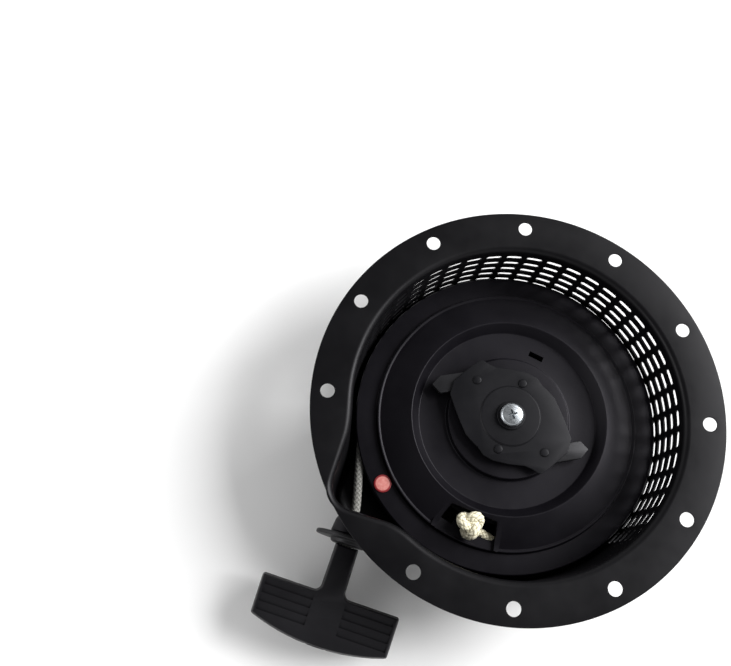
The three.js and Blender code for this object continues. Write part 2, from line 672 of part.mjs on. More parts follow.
function makeHandleInside() {
  const insideR = KNOT_POCKET_R - GAP;
  const low = KNOT_POCKET_Y + GAP;
  const insert = [[ROPE_BORE_R, low], [insideR, low], [insideR, low + 2.5], [ROPE_BORE_R, low + 2.5], [ROPE_BORE_R, low]];
  addMesh('handle_insert', alongHandle(insert, 20), zinc);
  const knotY = low + 2.5 + 0.8 + 5.5;
  addMesh('handle_knot', ontoHandle(knotSolid(12, 10, 12).translate(0, knotY, 0)), ropeCream);
  const cap = [
    [0, 52], [insideR, 52], [insideR, BAR_CROWN_Y - 1.2], [insideR - 1, BAR_CROWN_Y - 0.6], [0, BAR_CROWN_Y - 0.3],
  ];
  addMesh('handle_cap', alongHandle(cap, 20), handlePlastic);
}

makeHousing();
makeSpringCup();
makeRecoilSpring();
makeCentrePost();
makeReel();
makeReelBearings();
makeDotLabel();
makeRopeCoil();
makeReelKnot();
makeRopeRun();
makeRopeGuide();
makeStopWasher();
makePawlSet('a', 0);
makePawlSet('b', 180);
makeFrictionPlate();
makeFrictionSpring();
makeCentreScrew();
makeHandle();
makeHandleInside();

export default group;
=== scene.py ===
"""Looks of a recoil starter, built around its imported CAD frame.

Lengths are millimetres in the frame's axes, and MM turns them into metres where a mesh is made.
"""
import json
import math

import bmesh
import bpy
import numpy as np
from mathutils import Matrix, Vector


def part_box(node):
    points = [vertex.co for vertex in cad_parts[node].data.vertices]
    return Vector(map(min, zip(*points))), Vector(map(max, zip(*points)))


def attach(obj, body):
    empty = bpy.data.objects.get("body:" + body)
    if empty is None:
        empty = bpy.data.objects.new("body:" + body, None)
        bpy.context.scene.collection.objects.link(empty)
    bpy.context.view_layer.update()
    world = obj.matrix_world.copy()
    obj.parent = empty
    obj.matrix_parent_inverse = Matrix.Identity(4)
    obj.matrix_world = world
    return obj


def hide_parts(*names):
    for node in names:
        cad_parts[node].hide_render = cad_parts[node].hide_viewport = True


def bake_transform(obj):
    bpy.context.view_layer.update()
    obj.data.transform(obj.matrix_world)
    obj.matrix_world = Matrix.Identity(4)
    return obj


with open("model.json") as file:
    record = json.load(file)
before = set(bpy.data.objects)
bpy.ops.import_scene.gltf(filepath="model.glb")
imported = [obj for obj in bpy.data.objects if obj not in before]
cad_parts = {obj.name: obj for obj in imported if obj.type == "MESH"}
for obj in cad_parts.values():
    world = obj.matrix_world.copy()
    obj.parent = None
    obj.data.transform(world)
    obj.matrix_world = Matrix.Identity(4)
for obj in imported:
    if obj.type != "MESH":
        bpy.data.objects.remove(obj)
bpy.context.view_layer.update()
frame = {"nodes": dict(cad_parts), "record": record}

MM = 0.001
FULL_TURN = 2 * math.pi


def cad_box(node):
    low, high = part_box(node)
    return low / MM, high / MM


mounts = {mount["name"]: mount for mount in frame["record"]["mounts"]}
flange_point = Vector(mounts["flange_face"]["pos_m"]) / MM

# Housing.
SHEET = 1
FLANGE_FACE_Z = flange_point.z
BOLT_CIRCLE_R = math.hypot(flange_point.x, flange_point.y)
FLANGE_R = BOLT_CIRCLE_R + 10
DRUM_R = BOLT_CIRCLE_R - 14.5
DRUM_EDGE_R = 7
BOLT_HOLE_R = 4.25
MISSING_BOLT = 7
SLOT_PITCH_DEG = 7.5
SLOT_FIRST_DEG = -42.5
SLOT_COLUMNS = 30
SLOT_ROWS = 5
SLOT_LOW_Z = 16.7
SLOT_ROW_PITCH = 10
SLOT_LENGTH = 9.8
SLOT_HEIGHT = 5
SLOT_CORNER_R = 1.9
HOLE_FLARE = 0.35

# Outlet bulge and the facet pressed into the closed face.
SIDE_WALL_DEG = 166.2
SIDE_WALL_AT_FLANGE = 92.5
SIDE_WALL_AT_FACE = 89.5
OUTLET_WALL_DEG = -101.5
OUTLET_WALL_DISTANCE = 86.8
BULGE_CORNER_BLEND = 27
BULGE_DRUM_BLEND = 5
FACET_DEG = -144.5
FACET_START = 64.9
FACET_SLOPE = 0.134
FACET_SIDE_START = 10.7
FACET_SIDE_SPREAD = 0.81
FACET_OUTLET_START = 6.5
FACET_OUTLET_SPREAD = 0.43
FACET_EDGE_BLEND = 3
PRESS_START_R = 60
PRESS_FULL_R = 90

# Rope and outlet.
stop_low, stop_high = cad_box("stop_washer")
ROPE_Z = (stop_low.z + stop_high.z) / 2
ROPE_R = 2.8
ROPE_CORE_R = ROPE_R - 0.1
ROPE_WIND_R = 91
ROPE_LAYER_PITCH = 5.9
ROPE_WOUND_DEG = 646
ROPE_END_GAP_DEG = 1.8
ROPE_ENTRY_DEG = 26
ROPE_ENTRY_INWARD = 8.6
ROPE_ENTRY_RISE = 5.2
OUTLET_X = -91.2
OUTLET_Y = (
    OUTLET_WALL_DISTANCE - OUTLET_X * math.cos(math.radians(OUTLET_WALL_DEG))
) / math.sin(math.radians(OUTLET_WALL_DEG))
STOP_START = 10.8
HANDLE_START = 16.6
PULL_DEG = -103.7
GUIDE_HOLE_R = 9.3
ROPE_BORE_R = 3.7
BEND_Y = -72
BRAID_STRANDS = 6
BRAID_PITCH = 2.9
BRAID_DEPTH = 0.25
KNOT_STRAND_R = 3.2
KNOT_TURN_DEG = -118

# Reel.
reel_low, reel_high = cad_box("reel")
REEL_R = reel_high.x
REEL_BASE_Z = reel_low.z
RIM_Z = reel_high.z
RIM_R = 61.6
STEP_R = 82.5
STEP_Z = 29.5
REEL_TOP_Z = 27
RECESS_FLOOR_R = 56.5
RECESS_FLOOR_Z = 31
BOSS_R = 38.4
BOSS_Z = cad_box("reel_hub")[1].z
KNOT_DEG = -107.5
DOT_RIM_R = 4.1

# Pawls, plate and screw.
PAWL_PIVOT_R = 31
PAWL_PIVOT_DEG = 133
PAWL_LENGTH = 29.6
PAWL_HALF_WIDTH = 5.5
PAWL_LEAN_DEG = 60.9
PLATE_Z = cad_box("friction_plate")[0].z
PLATE_THICKNESS = 1.5
PAWL_PIN_R = 2.3
SCREW_TOP_Z = cad_box("centre_screw")[1].z
SCREW_HEAD_R = 7.3

# Handle, in its own axes: X along the bar, Y along the pull from the top of the neck.
NECK_HALF = 7.75
BAR_HALF_LENGTH = 43.5
BAR_NEAR_Y = 29.8
BAR_END_Y = 54.3
BAR_CROWN_Y = 61.6
HANDLE_THICKNESS = cad_box("handle")[1].z - cad_box("handle")[0].z
KNOT_POCKET_R = 7
KNOT_POCKET_Y = 36
RIB_EDGES_Y = (36.4, 41.4, 46.4, 51.4)

# Lights, as directions in degrees, distances and sizes in metres and power in watts. The background's strength
# falls from the horizon to the zenith between two heights of the view direction.
KEY_LIGHT = {"azimuth": 20, "elevation": 39, "distance": 2.6, "size": (1.6, 1.5), "power": 122}
LEFT_STRIP = {"azimuth": 192, "elevation": 26, "distance": 2.6, "size": (2.4, 0.65), "power": 20}
HORIZON_STRENGTH = 0.92
ZENITH_STRENGTH = 0.19
HORIZON_HEIGHT = 0.45
ZENITH_HEIGHT = 0.85

# Camera: its turns about X, Y and Z, and where the flange's centre lies in its own axes.
SENSOR_WIDTH = 36
LENS = 43.8944
CAMERA_TURNS_DEG = (-16.165, 2.994, -4.518)
FLANGE_FROM_CAMERA = (92.003, -44.325, -530.488)

# ---------------------------------------------------------------- mesh tools


def smooth(obj, degrees=35):
    obj.data.shade_smooth()
    obj.data.set_sharp_from_angle(angle=math.radians(degrees))
    return obj


def mesh_object(name, points, faces, smooth_degrees=35):
    """An object from points in millimetres, with its faces turned outwards."""
    mesh = bpy.data.meshes.new(name)
    mesh.from_pydata([tuple(c * MM for c in p) for p in points], [], faces)
    work = bmesh.new()
    work.from_mesh(mesh)
    bmesh.ops.recalc_face_normals(work, faces=work.faces)
    work.to_mesh(mesh)
    work.free()
    obj = bpy.data.objects.new(name, mesh)
    bpy.context.scene.collection.objects.link(obj)
    return smooth(obj, smooth_degrees)


def move(obj, matrix):
    obj.data.transform(matrix)
    return obj


def turn_z(degrees):
    return Matrix.Rotation(math.radians(degrees), 4, "Z")


def shift(x, y, z):
    return Matrix.Translation((x * MM, y * MM, z * MM))


def polar(radius, degrees):
    return radius * math.cos(math.radians(degrees)), radius * math.sin(math.radians(degrees))


def rounded(corners, closed=True, steps=5):
    """Outline through (x, y, radius) corners, with an arc of that radius at each."""
    points = []
    count = len(corners)
    for i, (x, y, radius) in enumerate(corners):
        here = Vector((x, y))
        if radius <= 0 or (not closed and i in (0, count - 1)):
            points.append((x, y))
            continue
        before = Vector(corners[i - 1][:2]) - here
        after = Vector(corners[(i + 1) % count][:2]) - here
        half = before.angle(after) / 2
        if half > math.radians(89.5):
            points.append((x, y))
            continue
        cut = min(radius / math.tan(half), 0.49 * before.length, 0.49 * after.length)
        arc_r = cut * math.tan(half)
        bisector = (before.normalized() + after.normalized()).normalized()
        centre = here + bisector * (arc_r / math.sin(half))
        start = here + before.normalized() * cut - centre
        end = here + after.normalized() * cut - centre
        first = math.atan2(start.y, start.x)
        sweep = (math.atan2(end.y, end.x) - first + math.pi) % FULL_TURN - math.pi
        for k in range(steps + 1):
            angle = first + sweep * k / steps
            points.append((centre.x + arc_r * math.cos(angle), centre.y + arc_r * math.sin(angle)))
    return points


def subdivided(points, step, within_r):
    """Adds points along the straight runs of a profile that lie inside a radius."""
    result = [points[0]]
    for (r0, z0), (r1, z1) in zip(points, points[1:]):
        length = math.hypot(r1 - r0, z1 - z0)
        count = max(1, math.ceil(length / step)) if max(r0, r1) <= within_r else 1
        for k in range(1, count + 1):
            result.append((r0 + (r1 - r0) * k / count, z0 + (z1 - z0) * k / count))
    return result


def lathe(name, profile, segments):
    """Solid of revolution about Z. The profile is a closed loop of (r, z), or runs from axis to axis."""
    points, rings, faces = [], [], []
    for r, z in profile:
        if r < 1e-6:
            rings.append([len(points)] * segments)
            points.append((0, 0, z))
            continue
        rings.append(list(range(len(points), len(points) + segments)))
        for k in range(segments):
            angle = FULL_TURN * k / segments
            points.append((r * math.cos(angle), r * math.sin(angle), z))
    on_axis = profile[0][0] < 1e-6 and profile[-1][0] < 1e-6
    pairs = list(zip(rings, rings[1:])) + ([] if on_axis else [(rings[-1], rings[0])])
    for low, high in pairs:
        for k in range(segments):
            n = (k + 1) % segments
            corners = [low[k], low[n], high[n], high[k]]
            unique = list(dict.fromkeys(corners))
            if len(unique) > 2:
                faces.append(unique)
    return mesh_object(name, points, faces)


def inset(corners, distance):
    """Corners of an anticlockwise outline moved inwards, with their arcs kept concentric."""
    count = len(corners)
    result = []
    for i, (x, y, radius) in enumerate(corners):
        here = Vector((x, y))
        a = (here - Vector(corners[i - 1][:2])).normalized()
        b = (Vector(corners[(i + 1) % count][:2]) - here).normalized()
        normal = Vector((-(a.y + b.y), a.x + b.x)).normalized()
        moved = here + normal * (distance / max(0.3, normal.dot(Vector((-a.y, a.x)))))
        hollow = a.x * b.y - a.y * b.x < 0
        if radius > 0:
            radius = radius + distance if hollow else max(0.05, radius - distance)
        result.append((moved.x, moved.y, radius))
    return result


def stacked(name, corners, levels, smooth_degrees=35, steps=5):
    """Solid with one outline at several heights. Each level is (z, how far the outline is inset there)."""
    outlines = [rounded(inset(corners, distance), steps=steps) for _, distance in levels]
    count = len(outlines[0])
    points = [(x, y, z) for outline, (z, _) in zip(outlines, levels) for x, y in outline]
    faces = []
    for level in range(len(levels) - 1):
        low, high = level * count, (level + 1) * count
        for i in range(count):
            n = (i + 1) % count
            faces.append([low + i, low + n, high + n, high + i])
    faces.append(list(range(count))[::-1])
    faces.append(list(range(len(points) - count, len(points))))
    return mesh_object(name, points, faces, smooth_degrees)


def edge_levels(low, high, edge, steps=3):
    """Levels of a plate whose top and bottom edges are rounded."""
    levels = []
    for k in range(steps + 1):
        angle = math.pi / 2 * k / steps
        levels.append((low + edge * (1 - math.sin(angle)), edge * (1 - math.cos(angle))))
    levels = [(z, d) for z, d in reversed(levels)]
    return levels + [(low + high - z, d) for z, d in reversed(levels)]


def box_mesh(name, size, centre):
    sx, sy, sz = (s / 2 for s in size)
    corners = [(x, y, z) for x in (-sx, sx) for y in (-sy, sy) for z in (-sz, sz)]
    points = [tuple(c + o for c, o in zip(corner, centre)) for corner in corners]
    faces = [(0, 1, 3, 2), (4, 6, 7, 5), (0, 4, 5, 1), (2, 3, 7, 6), (0, 2, 6, 4), (1, 5, 7, 3)]
    return mesh_object(name, points, faces)


def joined(objects):
    """Puts several meshes into the first of them."""
    work = bmesh.new()
    for obj in objects:
        work.from_mesh(obj.data)
    work.to_mesh(objects[0].data)
    work.free()
    for obj in objects[1:]:
        bpy.data.objects.remove(obj)
    return objects[0]


def combine(obj, others, operation, smooth_degrees=35):
    """Cuts the other solids away from obj, or adds them to it. The others are used up."""
    tool = joined(others)
    modifier = obj.modifiers.new("combine", "BOOLEAN")
    modifier.operation = operation
    modifier.solver = "MANIFOLD"
    modifier.object = tool
    depsgraph = bpy.context.evaluated_depsgraph_get()
    made = bpy.data.meshes.new_from_object(obj.evaluated_get(depsgraph))
    obj.modifiers.clear()
    obj.data = made
    bpy.data.objects.remove(tool)
    return smooth(obj, smooth_degrees)


def tube(name, centres, radius, sides=24, swell=None):
    """Closed round bar along a polyline. swell(turn, distance) is added to the radius. It carries a UV map:
    u is the turn round the bar and v the distance along it in millimetres."""
    path = [Vector(c) for c in centres]
    tangents = [
        (path[min(i + 1, len(path) - 1)] - path[max(i - 1, 0)]).normalized() for i in range(len(path))
    ]
    side = tangents[0].orthogonal().normalized()
    if abs(tangents[0].z) < 0.9:
        side = Vector((0, 0, 1)).cross(tangents[0]).normalized()
    points, distances, travelled = [], [], 0.0
    for i, centre in enumerate(path):
        if i:
            travelled += (centre - path[i - 1]).length
            turn = tangents[i - 1].rotation_difference(tangents[i])
            side = (turn @ side).normalized()
        distances.append(travelled)
        up = tangents[i].cross(side)
        for k in range(sides):
            angle = FULL_TURN * k / sides
            r = radius + (swell(k / sides, travelled) if swell else 0)
            points.append(centre + side * (r * math.cos(angle)) + up * (r * math.sin(angle)))
    faces, coordinates = [], []
    for i in range(len(path) - 1):
        for k in range(sides):
            n = (k + 1) % sides
            faces.append([i * sides + k, i * sides + n, (i + 1) * sides + n, (i + 1) * sides + k])
    for first, ring in ((0, 0), (1, len(path) - 1)):
        tip = path[ring] + tangents[ring] * (radius * 0.35 * (1 if first else -1))
        points.append(tip)
        for k in range(sides):
            faces.append([ring * sides + k, ring * sides + (k + 1) % sides, len(points) - 1])
    mesh = bpy.data.meshes.new(name)
    mesh.from_pydata([tuple(c * MM for c in p) for p in points], [], faces)
    layer = mesh.uv_layers.new(name="along")
    for polygon in mesh.polygons:
        ring_sides = [mesh.loops[i].vertex_index % sides for i in polygon.loop_indices]
        wraps = 0 in ring_sides and sides - 1 in ring_sides
        for i in polygon.loop_indices:
            vertex = mesh.loops[i].vertex_index
            if vertex >= len(path) * sides:
                layer.data[i].uv = (0.5, distances[0] if vertex == len(path) * sides else distances[-1])
                continue
            u = (vertex % sides) / sides
            u = 1.0 if wraps and u == 0 else u
            layer.data[i].uv = (u, distances[vertex // sides])
    work = bmesh.new()
    work.from_mesh(mesh)
    bmesh.ops.recalc_face_normals(work, faces=work.faces)
    work.to_mesh(mesh)
    work.free()
    obj = bpy.data.objects.new(name, mesh)
    bpy.context.scene.collection.objects.link(obj)
    return smooth(obj, 60)


def smooth_path(points, step):
    """Catmull-Rom curve through the points, sampled about every step."""
    p = [Vector(q) for q in points]
    p = [p[0] * 2 - p[1]] + p + [p[-1] * 2 - p[-2]]
    result = []
    for i in range(1, len(p) - 2):
        count = max(2, math.ceil((p[i + 1] - p[i]).length / step))
        for k in range(count):
            t = k / count
            result.append(
                0.5 * (
                    2 * p[i] + (p[i + 1] - p[i - 1]) * t
                    + (2 * p[i - 1] - 5 * p[i] + 4 * p[i + 1] - p[i + 2]) * t ** 2
                    + (3 * p[i] - p[i - 1] - 3 * p[i + 1] + p[i + 2]) * t ** 3
                )
            )
    result.append(p[-2])
    return result


# ---------------------------------------------------------------- materials


class Look:
    """One material and short ways to build its nodes."""

    def __init__(self, name, color, roughness, metallic=0.0, specular=0.5):
        self.material = bpy.data.materials.new(name)
        self.material.use_nodes = True
        self.tree = self.material.node_tree
        self.shader = self.tree.nodes["Principled BSDF"]
        self.set("Base Color", (*color, 1))
        self.set("Roughness", roughness)
        self.set("Metallic", metallic)
        self.set("Specular IOR Level", specular)
        self.place = self.add("ShaderNodeTexCoord").outputs["Object"]

    def set(self, socket, value):
        self.shader.inputs[socket].default_value = value

    def add(self, kind, **settings):
        node = self.tree.nodes.new(kind)
        for key, value in settings.items():
            setattr(node, key, value)
        return node

    def plug(self, source, target):
        if isinstance(source, (int, float, tuple)):
            target.default_value = source
        else:
            self.tree.links.new(source, target)

    def math(self, operation, *values):
        node = self.add("ShaderNodeMath", operation=operation)
        for value, socket in zip(values, node.inputs):
            self.plug(value, socket)
        return node.outputs[0]

    def distance(self, x, y):
        squares = self.math("ADD", self.math("MULTIPLY", x, x), self.math("MULTIPLY", y, y))
        return self.math("SQRT", squares)

    def axes(self, vector=None):
        node = self.add("ShaderNodeSeparateXYZ")
        self.plug(vector or self.place, node.inputs[0])
        return node.outputs

    def noise(self, scale, detail=3.0, roughness=0.5):
        node = self.add("ShaderNodeTexNoise")
        self.plug(self.place, node.inputs["Vector"])
        node.inputs["Scale"].default_value = scale
        node.inputs["Detail"].default_value = detail
        node.inputs["Roughness"].default_value = roughness
        return node.outputs["Fac"]

    def span(self, value, low, high, to_low, to_high):
        node = self.add("ShaderNodeMapRange")
        for key, number in zip(("From Min", "From Max", "To Min", "To Max"), (low, high, to_low, to_high)):
            node.inputs[key].default_value = number
        self.plug(value, node.inputs["Value"])
        return node.outputs["Result"]

    def blend(self, factor, a, b):
        node = self.add("ShaderNodeMix", data_type="RGBA")
        self.plug(factor, node.inputs["Factor"])
        self.plug((*a, 1) if isinstance(a, tuple) else a, node.inputs["A"])
        self.plug((*b, 1) if isinstance(b, tuple) else b, node.inputs["B"])
        return node.outputs["Result"]

    def color(self, source):
        self.plug(source, self.shader.inputs["Base Color"])

    def rough(self, source):
        self.plug(source, self.shader.inputs["Roughness"])

    def bump(self, height, distance):
        """Adds relief, where distance is the height in millimetres of one unit of the height texture."""
        node = self.add("ShaderNodeBump")
        node.inputs["Strength"].default_value = 1
        node.inputs["Distance"].default_value = distance * MM
        self.plug(height, node.inputs["Height"])
        normal = self.shader.inputs["Normal"]
        if normal.links:
            self.plug(normal.links[0].from_socket, node.inputs["Normal"])
        self.plug(node.outputs["Normal"], normal)


def moulded(name, dark, light, roughness, grain, depth, specular, tint=(0.97, 0.96, 1), wave=0):
    """Moulded or sprayed surface: slow colour and gloss drift, fine grain and a little pale dust. Grain is
    the noise's scale per metre, and depth and wave are bump heights in millimetres."""
    look = Look(name, dark, roughness[0], specular=specular)
    look.set("Specular Tint", (*tint, 1))
    drift = look.noise(28, 4)
    dust = look.span(look.noise(420, 6, 0.7), 0.62, 0.8, 0, 0.35)
    base = look.blend(look.span(drift, 0.35, 0.65, 0, 1), dark, light)
    look.color(look.blend(dust, base, tuple(c * 2.2 for c in light)))
    mottle = look.math("ADD", drift, look.math("MULTIPLY", look.noise(140, 3), 0.5))
    look.rough(look.span(mottle, 0.5, 1.0, *roughness))
    look.bump(look.noise(grain, 2), depth)
    look.bump(look.noise(90, 2), depth * 2.5)
    if wave:
        look.bump(look.noise(24, 3), wave)
    return look.material


def turned_metal(name, dark, light, rough_low, rough_high, rings=0.0):
    """Plated or bare metal with smears, and turning marks round Z where rings is their number per metre."""
    look = Look(name, light, rough_low, metallic=1.0)
    smear = look.noise(160, 5, 0.6)
    fine = look.noise(1400, 2)
    look.color(look.blend(look.span(smear, 0.3, 0.7, 0, 1), dark, light))
    look.rough(look.span(look.math("ADD", smear, fine), 0.7, 1.3, rough_low, rough_high))
    if rings:
        x, y, _ = look.axes()
        radius = look.distance(x, y)
        look.bump(look.math("SINE", look.math("MULTIPLY", radius, rings * FULL_TURN)), 0.01)
    look.bump(fine, 0.012)
    return look.material


def braid_height(look, turn, distance, strands, pitch):
    """Height from 0 to 1 of a plaited cover, from the turn round the rope and the distance along it."""
    u = look.math("MULTIPLY", turn, strands)
    v = look.math("DIVIDE", distance, pitch)
    right, left = look.math("ADD", u, v), look.math("SUBTRACT", u, v)
    over = look.math("PINGPONG", look.math("ADD", look.math("FLOOR", right), look.math("FLOOR", left)), 1.0)
    crowns = [look.math("SINE", look.math("MULTIPLY", look.math("FRACT", s), math.pi)) for s in (right, left)]
    first = look.math("MULTIPLY", crowns[0], over)
    second = look.math("MULTIPLY", crowns[1], look.math("SUBTRACT", 1.0, over))
    return look.math("ADD", first, second)


def rope_look(name, hollow, crown, along_run):
    """Braided rope. The straight run takes its braid from where it is, so it keeps its scale when pulled
    out; wound rope and knots take it from their UV map."""
    look = Look(name, crown, 0.85, specular=0.2)
    look.set("Sheen Weight", 0.15)
    look.set("Sheen Roughness", 0.5)
    if along_run:
        x, y, z = look.axes()
        lean = math.cos(math.radians(PULL_DEG)) / math.sin(math.radians(PULL_DEG))
        past_bend = look.math("MINIMUM", look.math("ADD", y, -BEND_Y * MM), 0.0)
        centre = look.math("MULTIPLY_ADD", past_bend, lean, -ROPE_WIND_R * MM)
        angle = look.math("ARCTAN2", look.math("SUBTRACT", z, ROPE_Z * MM), look.math("SUBTRACT", x, centre))
        turn, distance = look.math("DIVIDE", angle, FULL_TURN), look.math("DIVIDE", y, -MM)
    else:
        u, v, _ = look.axes(look.add("ShaderNodeUVMap", uv_map="along").outputs[0])
        turn, distance = u, v
    height = braid_height(look, turn, distance, BRAID_STRANDS, BRAID_PITCH)
    fibre = look.noise(2600, 3)
    # The braid's hollows take the darker hollow colour: painted shade in the weave's recesses, on top of the
    # bump.
    shade = look.blend(look.span(height, 0.1, 0.75, 0, 1), hollow, crown)
    grime = look.span(look.noise(120, 4, 0.6), 0.5, 0.75, 0, 0.35)
    look.color(look.blend(grime, shade, tuple(c / 2 for c in crown)))
    look.bump(height, BRAID_DEPTH)
    look.bump(fibre, 0.05)
    return look.material


PAINT = moulded(
    "satin_black_paint", (0.0019, 0.0018, 0.0023), (0.0032, 0.0031, 0.0037),
    roughness=(0.34, 0.46), grain=900, depth=0.006, specular=0.155, wave=0.28,
)
PLASTIC = moulded(
    "moulded_black_nylon", (0.0022, 0.0019, 0.0030), (0.0036, 0.0032, 0.0047),
    roughness=(0.38, 0.5), grain=1500, depth=0.008, specular=0.18, tint=(0.94, 0.91, 1),
)
GRIP = moulded(
    "grip_black_plastic", (0.0038, 0.0036, 0.0046), (0.0060, 0.0058, 0.0070),
    roughness=(0.42, 0.56), grain=2200, depth=0.014, specular=0.22,
)
RUBBER = moulded(
    "black_rubber", (0.004, 0.004, 0.0045), (0.0065, 0.0065, 0.007),
    roughness=(0.36, 0.5), grain=1800, depth=0.012, specular=0.3,
)
OXIDE = moulded(
    "black_oxide_steel", (0.0042, 0.0042, 0.0052), (0.0065, 0.0065, 0.0078),
    roughness=(0.38, 0.5), grain=1300, depth=0.006, specular=0.16,
)
PAWL_STEEL = moulded(
    "sintered_pawl_steel", (0.008, 0.008, 0.009), (0.013, 0.013, 0.0145),
    roughness=(0.34, 0.46), grain=1500, depth=0.008, specular=0.3,
)
ZINC = turned_metal("bright_zinc", (0.30, 0.32, 0.34), (0.58, 0.61, 0.64), 0.24, 0.38)
STEEL = turned_metal("turned_steel", (0.34, 0.35, 0.37), (0.56, 0.57, 0.60), 0.25, 0.42, rings=2500)
SPRING = turned_metal("blued_spring_steel", (0.10, 0.11, 0.14), (0.24, 0.25, 0.29), 0.25, 0.4)
BRONZE = turned_metal("sintered_bronze", (0.36, 0.22, 0.09), (0.55, 0.37, 0.17), 0.35, 0.5)
# The run is the same rope as ROPE_WOUND, given far darker colours: painted shade along the run.
ROPE_RUN_PAINTED_SHADE = rope_look("braided_rope_run_painted_shade", (0.07, 0.068, 0.062), (0.25, 0.247, 0.23), True)
ROPE_WOUND = rope_look("braided_rope", (0.40, 0.35, 0.22), (0.90, 0.85, 0.65), False)


def dot_look():
    """Round vinyl dot: a red rim and a paler middle."""
    look = Look("red_vinyl_dot", (0.6, 0.08, 0.07), 0.35)
    low, high = cad_box("dot_label")
    centre = (low + high) / 2
    x, y, _ = look.axes()
    dx = look.math("SUBTRACT", x, centre.x * MM)
    dy = look.math("SUBTRACT", y, centre.y * MM)
    radius = look.distance(dx, dy)
    rim = look.span(radius, DOT_RIM_R * MM, (DOT_RIM_R + 0.5) * MM, 0, 1)
    middle = look.blend(look.span(look.noise(500, 4), 0.35, 0.65, 0, 1), (0.56, 0.17, 0.15), (0.64, 0.27, 0.24))
    look.color(look.blend(rim, middle, (0.20, 0.008, 0.012)))
    look.rough(look.span(look.noise(300, 3), 0.3, 0.7, 0.3, 0.5))
    look.bump(look.noise(800, 2), 0.01)
    return look.material


DOT = dot_look()


def dressed(obj, material, body, *nodes, slot=None):
    """Gives a piece its material and body, and hides the CAD nodes that it stands for."""
    obj.data.materials.clear()
    obj.data.materials.append(material)
    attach(obj, body)
    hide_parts(*nodes)
    return obj


# ---------------------------------------------------------------- housing


def smooth_min(a, b, width):
    overlap = np.maximum(width - np.abs(a - b), 0) / width
    return np.minimum(a, b) - overlap ** 2 * width / 4


def smooth_step(value):
    t = np.clip(value, 0, 1)
    return t * t * (3 - 2 * t)


def bulge_depth(angle, z):
    """How far the bulge pushes the drum's wall out."""
    to_side = np.cos(angle - math.radians(SIDE_WALL_DEG))
    to_outlet = np.cos(angle - math.radians(OUTLET_WALL_DEG))
    draft = np.clip(z / FLANGE_FACE_Z, 0, 1)
    side_distance = SIDE_WALL_AT_FACE + (SIDE_WALL_AT_FLANGE - SIDE_WALL_AT_FACE) * draft
    near = (to_side >= 0.2) & (to_outlet >= 0.2)
    side = side_distance / np.where(near, to_side, 1)
    outlet = OUTLET_WALL_DISTANCE / np.where(near, to_outlet, 1)
    bulge = smooth_min(side, outlet, BULGE_CORNER_BLEND)
    depth = -smooth_min(-bulge, np.full_like(bulge, -DRUM_R), BULGE_DRUM_BLEND) - DRUM_R
    return np.where(near, depth, 0)


def facet_height(x, y):
    """Height of the sloping facet above the closed face."""
    c, s = math.cos(math.radians(FACET_DEG)), math.sin(math.radians(FACET_DEG))
    along = x * c + y * s - FACET_START
    across = y * c - x * s
    side_edge = smooth_step((FACET_SIDE_START + FACET_SIDE_SPREAD * along + across) / FACET_EDGE_BLEND)
    outlet_edge = smooth_step((FACET_OUTLET_START + FACET_OUTLET_SPREAD * along - across) / FACET_EDGE_BLEND)
    return np.where(along > 0, FACET_SLOPE * along * side_edge * outlet_edge, 0)


def press_bulge(obj):
    """Presses the outlet bulge and the facet into the turned shell."""
    mesh = obj.data
    co = np.zeros(len(mesh.vertices) * 3)
    mesh.vertices.foreach_get("co", co)
    co = co.reshape(-1, 3) / MM
    base_r = np.hypot(co[:, 0], co[:, 1])
    angle = np.arctan2(co[:, 1], co[:, 0])
    z = co[:, 2]
    reach = smooth_step((base_r - PRESS_START_R) / (PRESS_FULL_R - PRESS_START_R)) * (base_r < FLANGE_R - 1)
    radius = base_r + bulge_depth(angle, z) * reach
    x, y = radius * np.cos(angle), radius * np.sin(angle)
    on_face = 1 - np.clip(z / (FLANGE_FACE_Z - SHEET), 0, 1)
    pressed = np.stack([x, y, z + facet_height(x, y) * on_face], 1) * MM
    mesh.vertices.foreach_set("co", pressed.ravel())
    mesh.update()


def onto_outlet():
    """From an axis along Z to the rope outlet's axis, pointing out of the housing."""
    return (
        shift(OUTLET_X, OUTLET_Y, ROPE_Z)
        @ turn_z(OUTLET_WALL_DEG)
        @ Matrix.Rotation(math.pi / 2, 4, "Y")
    )


def housing_cutters():
    """Solids of the vent slots, the bolt holes and the rope outlet."""
    cutters = []
    half, side = SLOT_LENGTH / 2, SLOT_HEIGHT / 2
    corners = [(x, y, SLOT_CORNER_R) for x, y in ((-half, -side), (half, -side), (half, side), (-half, side))]
    for column in range(SLOT_COLUMNS):
        for row in range(SLOT_ROWS):
            slot = stacked("slot", corners, [(DRUM_R - 5, 0), (DRUM_R + 3, 0)], steps=4)
            upright = Matrix.Rotation(math.pi / 2, 4, "Z") @ Matrix.Rotation(math.pi / 2, 4, "X")
            place = shift(0, 0, SLOT_LOW_Z + row * SLOT_ROW_PITCH)
            move(slot, place @ turn_z(SLOT_FIRST_DEG + column * SLOT_PITCH_DEG) @ upright)
            cutters.append(slot)
    face, under = FLANGE_FACE_Z, FLANGE_FACE_Z - SHEET
    mouth_r = BOLT_HOLE_R + HOLE_FLARE + 1
    section = [
        (0, under - 1), (mouth_r, under - 1), (BOLT_HOLE_R, under + HOLE_FLARE),
        (BOLT_HOLE_R, face - HOLE_FLARE), (mouth_r, face + 1), (0, face + 1),
    ]
    for i in range(12):
        if i != MISSING_BOLT:
            x, y = polar(BOLT_CIRCLE_R, i * 30)
            cutters.append(move(lathe("bolt_hole", section, 40), shift(x, y, 0)))
    outlet = lathe("outlet_hole", [(0, -9), (GUIDE_HOLE_R, -9), (GUIDE_HOLE_R, 9), (0, 9)], 48)
    cutters.append(move(outlet, onto_outlet()))
    return cutters


